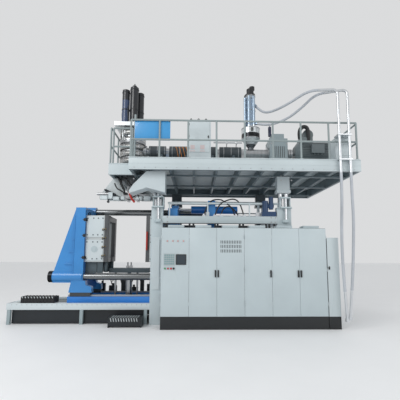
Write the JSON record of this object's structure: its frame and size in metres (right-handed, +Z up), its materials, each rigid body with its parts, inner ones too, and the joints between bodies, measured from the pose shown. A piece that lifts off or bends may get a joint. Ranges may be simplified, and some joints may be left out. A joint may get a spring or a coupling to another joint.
{
  "type": "blow moulding machine",
  "caption": "Two-level accumulator-head blow moulding machine with sliding mould clamp, lifting extruder platform, electrical cabinets and material feed pipes.",
  "frame": {"origin": "on the floor at the middle of the footprint", "axes": "+X to the right along the cabinets, +Y to the back, +Z up"},
  "size_m": [7.966, 3.54, 6.101],
  "materials": {
    "grey_paint": "satin powder coat",
    "blue_paint": "semi-gloss machine enamel",
    "black_paint": "satin enamel",
    "steel": "ground and turned steel",
    "mould_metal": "satin enamel over steel",
    "pipe_steel": "drawn tube",
    "black_plastic": "moulded",
    "lamp": "clear moulded lens",
    "green_plastic": "moulded",
    "red_plastic": "moulded",
    "hose_plastic": "ribbed flexible hose"
  },
  "bodies": {
    "machine": {"bed_frame": "grey_paint", "bed_skirt": "black_paint", "bed_beams": "blue_paint", "cable_chain": "black_plastic", "foot_step": "black_paint", "columns": "grey_paint", "lift_posts": "steel", "cabinet_shell": "grey_paint", "power_pack": "black_paint", "blow_base": "steel"},
    "left_clamp": {"left_platen": "blue_paint", "left_mould": "mould_metal", "tie_bars": "steel", "rear_plate": "blue_paint", "clamp_cylinders": "blue_paint", "mould_brackets": "mould_metal"},
    "right_clamp": {"right_platen": "blue_paint", "right_mould": "mould_metal", "clamp_rods": "steel"},
    "platform": {"lift_sleeves": "grey_paint", "platform_frame": "grey_paint", "guard_rails": "grey_paint", "sign_plate": "blue_paint", "deck_boxes": "grey_paint", "pinch_frame": "grey_paint", "accumulator_head": "steel", "shot_cylinders": "black_paint", "barrel": "steel", "barrel_covers": "black_paint", "gearbox": "grey_paint", "drive_motor": "black_paint", "hopper": "steel", "feed_pipes": "pipe_steel", "suction_lances": "pipe_steel", "hose_a": "hose_plastic", "hose_b": "hose_plastic", "hose_c": "hose_plastic", "hose_d": "hose_plastic"},
    "shot_piston": {"shot_rods": "steel"},
    "die_pin": {"mandrel": "steel"},
    "jaw_left_slide": {"jaw_left": "steel"},
    "jaw_right_slide": {"jaw_right": "steel"},
    "screw": {"extruder_screw": "steel"},
    "coupling": {"motor_coupling": "steel"},
    "loader_cover": {"loader_lid": "steel"},
    "blow_lift_table": {"blow_table": "steel"},
    "pin_left": {"blow_pin_left": "steel"},
    "pin_right": {"blow_pin_right": "steel"},
    "door_leaf_1": {"door_1": "grey_paint", "touch_screen": "black_plastic", "signal_lamps": "lamp"},
    "start": {"start_button": "green_plastic"},
    "stop": {"stop_button": "red_plastic"},
    "emergency": {"emergency_stop": "red_plastic"},
    "knob": {"mode_knob": "black_plastic"},
    "door_leaf_2": {"door_2": "grey_paint"},
    "door_leaf_3": {"door_3": "grey_paint"},
    "door_leaf_4": {"door_4": "grey_paint"},
    "door_leaf_5": {"door_5": "grey_paint"},
    "door_leaf_6": {"door_6": "grey_paint"}
  },
  "joints": [
    {"name": "mould_close", "type": "slide", "parent": "machine", "child": "left_clamp", "axis": [1, 0, 0], "range_m": [0, 0.4535]},
    {"name": "mould_close_right", "type": "slide", "parent": "machine", "child": "right_clamp", "axis": [-1, 0, 0], "range_m": [0, 0.4535]},
    {"name": "platform_lift", "type": "slide", "parent": "machine", "child": "platform", "axis": [0, 0, 1], "range_m": [0, 0.3]},
    {"name": "shot_stroke", "type": "slide", "parent": "platform", "child": "shot_piston", "axis": [0, 0, 1], "range_m": [0, 0.2]},
    {"name": "die_gap", "type": "slide", "parent": "platform", "child": "die_pin", "axis": [0, 0, 1], "range_m": [-0.03, 0.02]},
    {"name": "parison_clamp", "type": "slide", "parent": "platform", "child": "jaw_left_slide", "axis": [1, 0, 0], "range_m": [0, 0.0947]},
    {"name": "parison_clamp_right", "type": "slide", "parent": "platform", "child": "jaw_right_slide", "axis": [-1, 0, 0], "range_m": [0, 0.0947]},
    {"name": "screw_turn", "type": "hinge", "parent": "platform", "child": "screw", "pos_m": [0.5, -0.5, 4.225], "axis": [1, 0, 0], "continuous": true},
    {"name": "coupling_turn", "type": "hinge", "parent": "platform", "child": "coupling", "pos_m": [2.7, -0.5, 4.225], "axis": [1, 0, 0], "continuous": true},
    {"name": "loader_lid_turn", "type": "hinge", "parent": "platform", "child": "loader_cover", "pos_m": [1.555, -0.5, 5.8003], "axis": [0, -1, 0], "range_deg": [0, 90]},
    {"name": "blow_lift", "type": "slide", "parent": "machine", "child": "blow_lift_table", "axis": [0, 0, 1], "range_m": [-0.12, 0]},
    {"name": "pin_spread", "type": "slide", "parent": "blow_lift_table", "child": "pin_left", "axis": [-1, 0, 0], "range_m": [0, 0.15]},
    {"name": "pin_spread_right", "type": "slide", "parent": "blow_lift_table", "child": "pin_right", "axis": [1, 0, 0], "range_m": [0, 0.15]},
    {"name": "door_1_swing", "type": "hinge", "parent": "machine", "child": "door_leaf_1", "pos_m": [-0.47, -1.69, 1.2], "axis": [0, 0, -1], "range_deg": [0, 85]},
    {"name": "door_2_swing", "type": "hinge", "parent": "machine", "child": "door_leaf_2", "pos_m": [0.13, -1.69, 1.2], "axis": [0, 0, -1], "range_deg": [0, 85]},
    {"name": "door_3_swing", "type": "hinge", "parent": "machine", "child": "door_leaf_3", "pos_m": [1.326, -1.69, 1.2], "axis": [0, 0, 1], "range_deg": [0, 85]},
    {"name": "door_4_swing", "type": "hinge", "parent": "machine", "child": "door_leaf_4", "pos_m": [1.33, -1.69, 1.2], "axis": [0, 0, -1], "range_deg": [0, 85]},
    {"name": "door_5_swing", "type": "hinge", "parent": "machine", "child": "door_leaf_5", "pos_m": [1.93, -1.69, 1.2], "axis": [0, 0, -1], "range_deg": [0, 85]},
    {"name": "door_6_swing", "type": "hinge", "parent": "machine", "child": "door_leaf_6", "pos_m": [3.126, -1.69, 1.2], "axis": [0, 0, 1], "range_deg": [0, 85]},
    {"name": "start_press", "type": "slide", "parent": "door_leaf_1", "child": "start", "axis": [0, 1, 0], "range_m": [0, 0.004], "stiffness_N_per_m": 600},
    {"name": "stop_press", "type": "slide", "parent": "door_leaf_1", "child": "stop", "axis": [0, 1, 0], "range_m": [0, 0.004], "stiffness_N_per_m": 600},
    {"name": "emergency_press", "type": "slide", "parent": "door_leaf_1", "child": "emergency", "axis": [0, 1, 0], "range_m": [0, 0.004], "stiffness_N_per_m": 600},
    {"name": "mode_turn", "type": "hinge", "parent": "door_leaf_1", "child": "knob", "pos_m": [-0.199, -1.7, 1.277], "axis": [0, -1, 0], "range_deg": [-45, 45]}
  ],
  "couplings": [
    {"joint": "mould_close_right", "follows": "mould_close", "ratio": 1},
    {"joint": "parison_clamp_right", "follows": "parison_clamp", "ratio": 1},
    {"joint": "coupling_turn", "follows": "screw_turn", "ratio": 8},
    {"joint": "pin_spread_right", "follows": "pin_spread", "ratio": 1}
  ]
}
